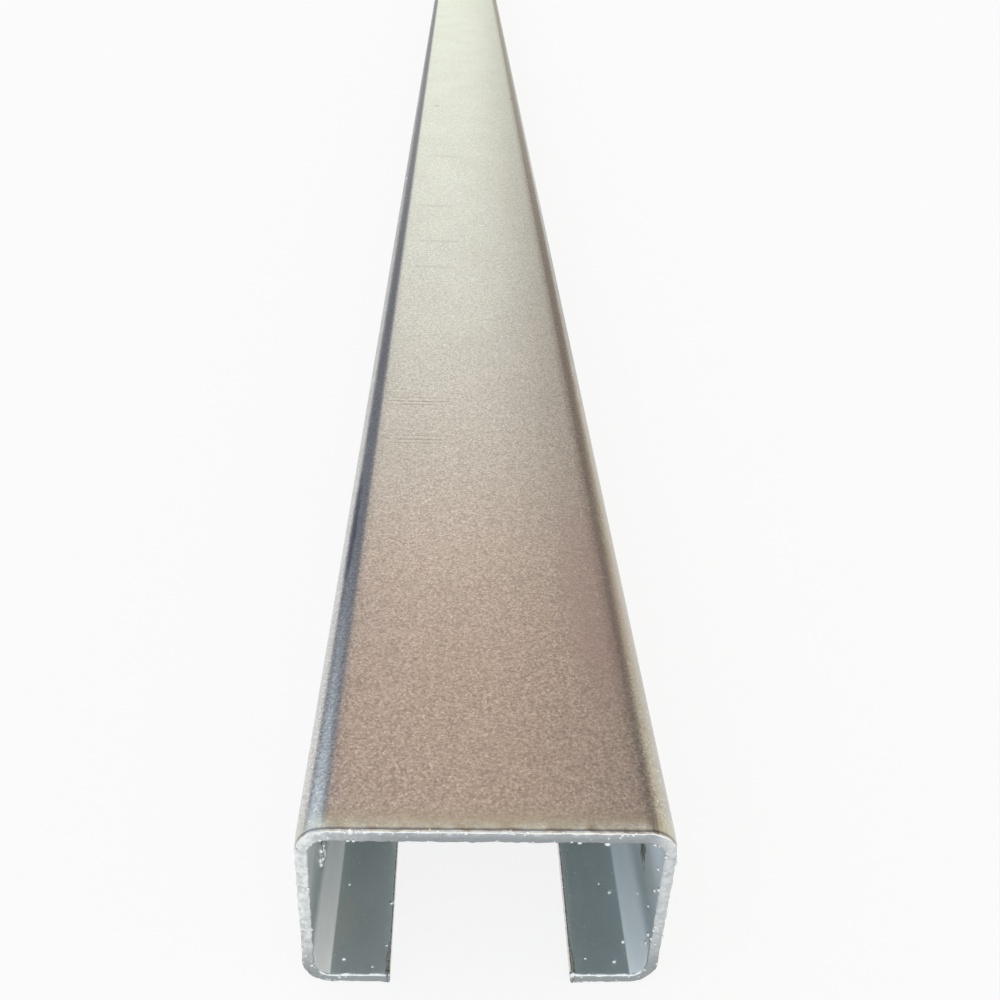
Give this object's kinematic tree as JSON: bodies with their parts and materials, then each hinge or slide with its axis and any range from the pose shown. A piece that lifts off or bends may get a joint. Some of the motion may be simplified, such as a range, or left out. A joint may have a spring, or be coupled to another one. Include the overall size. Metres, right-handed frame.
{
  "type": "strut channel",
  "caption": "Straight galvanised steel C channel with plain inturned lips and a continuous slot, for sliding in channel nuts and clamping fittings.",
  "frame": {"origin": "middle of the footprint, on the level that the two lips stand on", "axes": "+Y along the channel, +Z from the slot up to the web, +X across the slot to the right-hand flange seen from the -Y end"},
  "size_m": [0.0412, 1, 0.025],
  "materials": {
    "galvanised_steel": "satin zinc coating with a fine grain, brighter on the cut ends"
  },
  "bodies": {
    "root": {"strut_channel": "galvanised_steel"}
  },
  "joints": []
}
